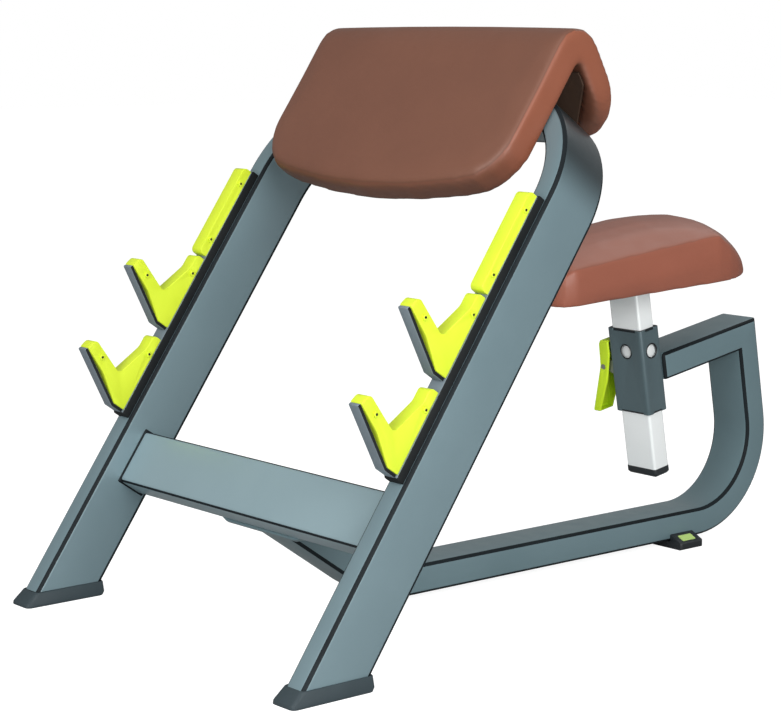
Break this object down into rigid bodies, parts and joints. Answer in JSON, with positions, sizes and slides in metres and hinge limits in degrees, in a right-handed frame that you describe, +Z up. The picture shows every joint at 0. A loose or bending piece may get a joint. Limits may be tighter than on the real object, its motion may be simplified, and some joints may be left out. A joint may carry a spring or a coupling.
{
  "type": "preacher curl bench",
  "caption": "Preacher curl bench: leaning tube arch with a folded arm pad and bar rests in front, C-shaped rear frame and a height-adjustable seat with a squeeze lever.",
  "frame": {"origin": "on the floor, under the middle of the bench's bounding box", "axes": "+Z up, +Y from the bar racks towards the seat, +X towards the user's left side (the user faces -Y)"},
  "size_m": [0.7828, 1.41, 0.9621],
  "materials": {
    "frame_paint": "metallic satin",
    "rack_steel": "satin",
    "lime_plastic": "satin",
    "post_chrome": "polished",
    "upholstery": "matt grain",
    "plywood": "raw",
    "dark_rubber": "matt",
    "black_plastic": "satin",
    "pale_plastic": "satin",
    "bolt_steel": "zinc plated"
  },
  "bodies": {
    "frame": {"arm_board": "plywood", "arm_pad": "upholstery", "base_beam": "frame_paint", "beam_neck": "frame_paint", "chest_board": "plywood", "crossbar": "frame_paint", "flange_bolts": "bolt_steel", "flange_plate": "frame_paint", "left_guard_liner": "lime_plastic", "left_leg": "frame_paint", "left_lower_hook_arm": "rack_steel", "left_lower_hook_liner": "lime_plastic", "left_pad_bracket": "frame_paint", "left_rack_screws": "bolt_steel", "left_rack_spine": "rack_steel", "left_shoe": "dark_rubber", "left_upper_hook_arm": "rack_steel", "left_upper_hook_liner": "lime_plastic", "lever_bracket": "bolt_steel", "lever_pivot_pin": "bolt_steel", "lock_housing": "bolt_steel", "lock_spring": "bolt_steel", "pad_bolts": "bolt_steel", "rear_bow": "frame_paint", "rear_foot": "dark_rubber", "rear_foot_inserts": "pale_plastic", "right_guard_liner": "lime_plastic", "right_leg": "frame_paint", "right_lower_hook_arm": "rack_steel", "right_lower_hook_liner": "lime_plastic", "right_pad_bracket": "frame_paint", "right_rack_screws": "bolt_steel", "right_rack_spine": "rack_steel", "right_shoe": "dark_rubber", "right_upper_hook_arm": "rack_steel", "right_upper_hook_liner": "lime_plastic", "seat_arm": "frame_paint", "seat_sleeve": "frame_paint", "sleeve_bottom_bush": "black_plastic", "sleeve_top_bush": "black_plastic", "top_bow": "frame_paint"},
    "seat": {"seat_post": "post_chrome", "post_end_cap": "black_plastic", "seat_plate": "bolt_steel", "seat_board": "plywood", "seat_pad": "upholstery", "seat_bolts": "bolt_steel"},
    "lever": {"release_lever": "lime_plastic"},
    "lock_pin": {"lock_pin": "bolt_steel"}
  },
  "joints": [
    {"name": "seat_height", "type": "slide", "parent": "frame", "child": "seat", "axis": [0, -0.1736, 0.9848], "range_m": [-0.04, 0.08]},
    {"name": "lever_squeeze", "type": "hinge", "parent": "frame", "child": "lever", "pos_m": [-0.06, 0.3855, 0.34065], "axis": [0, -0.9848, -0.1736], "range_deg": [0, 10], "stiffness_Nm_per_rad": 1},
    {"name": "lock_pin_slide", "type": "slide", "parent": "frame", "child": "lock_pin", "axis": [-1, 0, 0], "range_m": [0, 0.0062], "deforming": ["lock_spring"]}
  ],
  "couplings": [
    {"joint": "lock_pin_slide", "follows": "lever_squeeze", "m_per_rad": 0.035}
  ]
}
